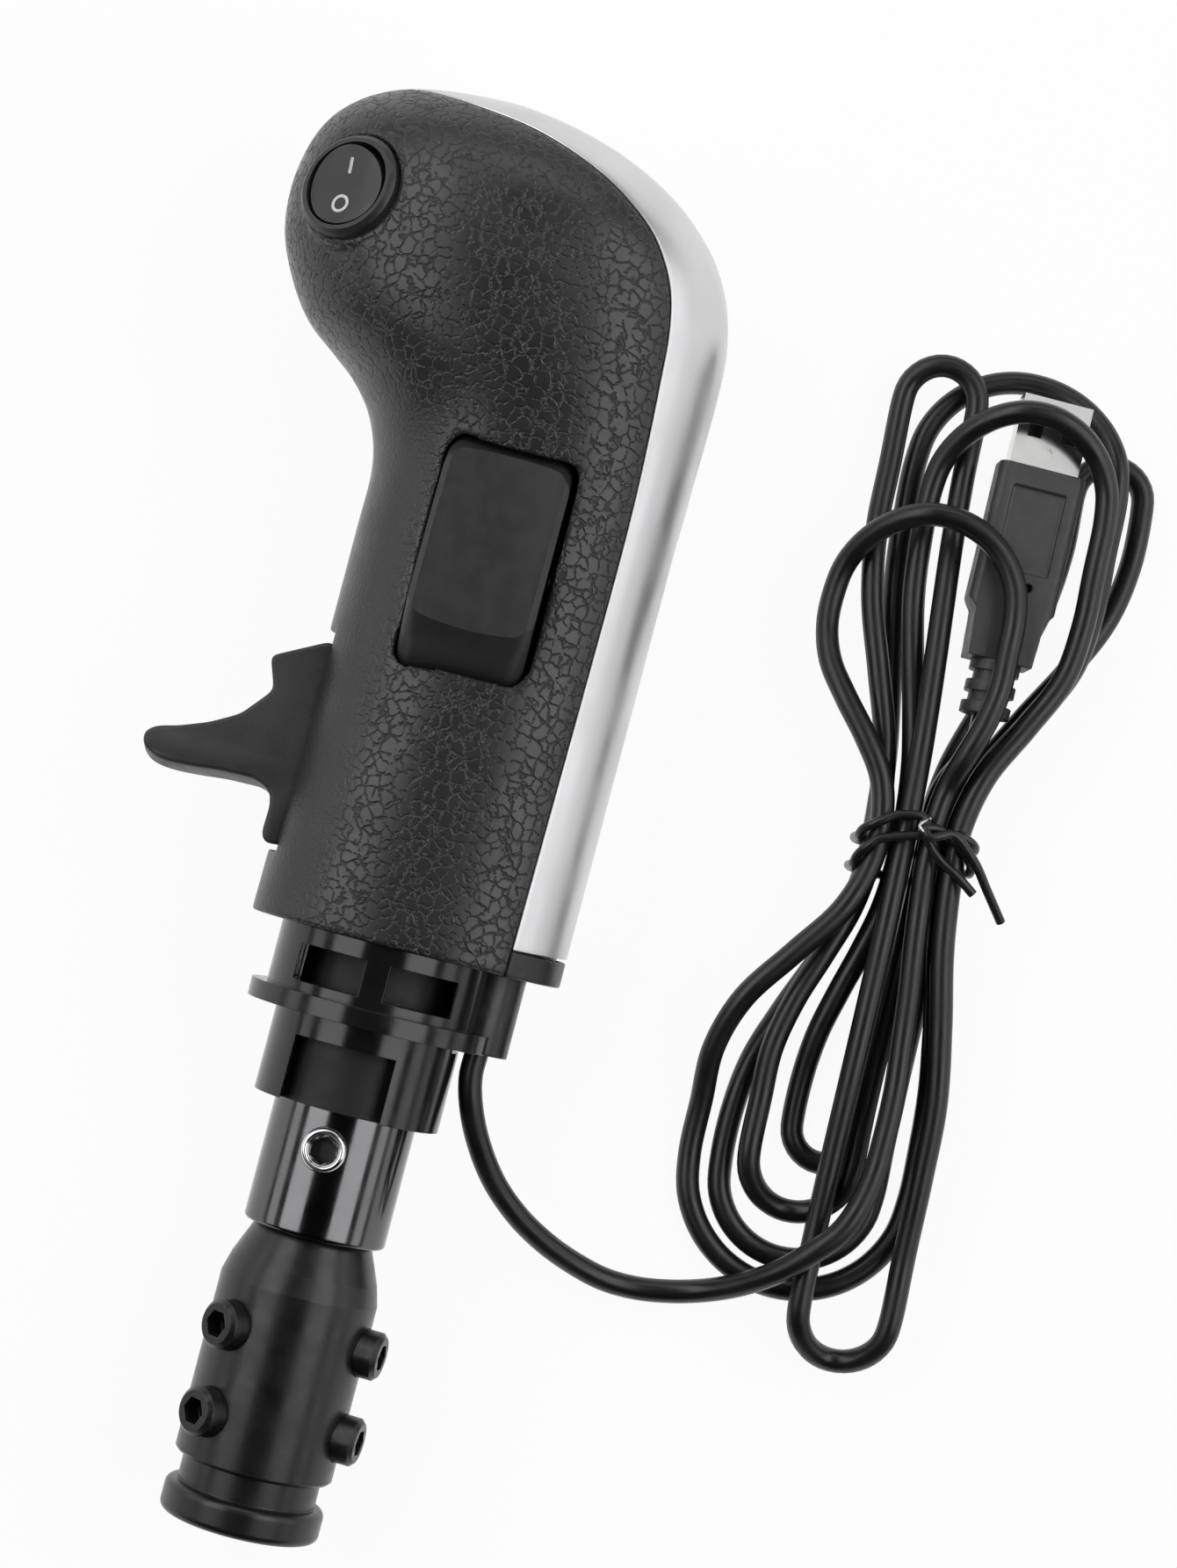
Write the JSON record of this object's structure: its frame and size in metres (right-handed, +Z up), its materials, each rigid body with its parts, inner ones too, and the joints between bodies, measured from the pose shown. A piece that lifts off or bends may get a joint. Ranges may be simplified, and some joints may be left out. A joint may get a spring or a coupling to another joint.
{
  "type": "gear shifter knob",
  "caption": "Gear shifter knob with a front range lever, a thumb splitter rocker and a power switch on a clamping shaft adapter, with its tied USB lead.",
  "frame": {"origin": "bottom centre of the knob's box as it lies on the table, without the lead", "axes": "+Z up from the table, +Y along the knob from the shaft adapter to the head, +X to the silver back"},
  "size_m": [0.1555, 0.2376, 0.0525],
  "materials": {
    "grip": "pebbled satin",
    "trim": "satin silver",
    "control": "satin",
    "frame": "gloss",
    "bracket": "moulded",
    "sleeve": "polished gun metal",
    "bright_screw": "polished",
    "adapter": "satin black anodised",
    "dark_screw": "blackened",
    "pin": "ground",
    "terminal": "bare",
    "board": "solder mask",
    "chip": "moulded",
    "header": "moulded",
    "lead": "semi-gloss",
    "plug": "matte",
    "plug_metal": "nickel",
    "tongue": "moulded"
  },
  "bodies": {
    "knob": {"grip_shell": "grip", "back_trim": "trim", "trim_foot": "frame", "core_frame": "frame", "cable_gland": "frame", "clamp_sleeve": "sleeve", "sleeve_screw": "bright_screw", "shaft_adapter": "adapter", "adapter_screws": "dark_screw", "power_switch_body": "frame", "power_switch_terminals": "terminal", "splitter_housing": "bracket", "splitter_pin": "pin", "splitter_switch": "bracket", "range_bracket": "bracket", "range_pin": "pin", "range_switch": "bracket", "circuit_board": "board", "controller_chip": "chip", "lead_header": "header", "board_screws": "pin", "shell_screws": "pin", "inner_lead": "lead", "cable_lead": "lead", "cable_hank": "lead", "plug_strain_relief": "plug", "plug_body": "plug", "plug_shell": "plug_metal", "plug_tongue": "tongue", "twist_tie": "lead"},
    "splitter": {"splitter_rocker": "control"},
    "lever": {"range_lever": "control"},
    "power": {"power_rocker": "control"}
  },
  "joints": [
    {"name": "splitter_hinge", "type": "hinge", "parent": "knob", "child": "splitter", "pos_m": [0.0092, 0.04224, 0.03191], "axis": [1, 0, 0], "range_deg": [0, 20]},
    {"name": "lever_hinge", "type": "hinge", "parent": "knob", "child": "lever", "pos_m": [-0.0035, 0.00544, 0.02229], "axis": [0, 0.0459, -0.9989], "range_deg": [0, 21]},
    {"name": "power_hinge", "type": "hinge", "parent": "knob", "child": "power", "pos_m": [-0.02601, 0.0944, 0.04346], "axis": [-0.866, 0.0229, -0.4995], "range_deg": [0, 11]}
  ]
}
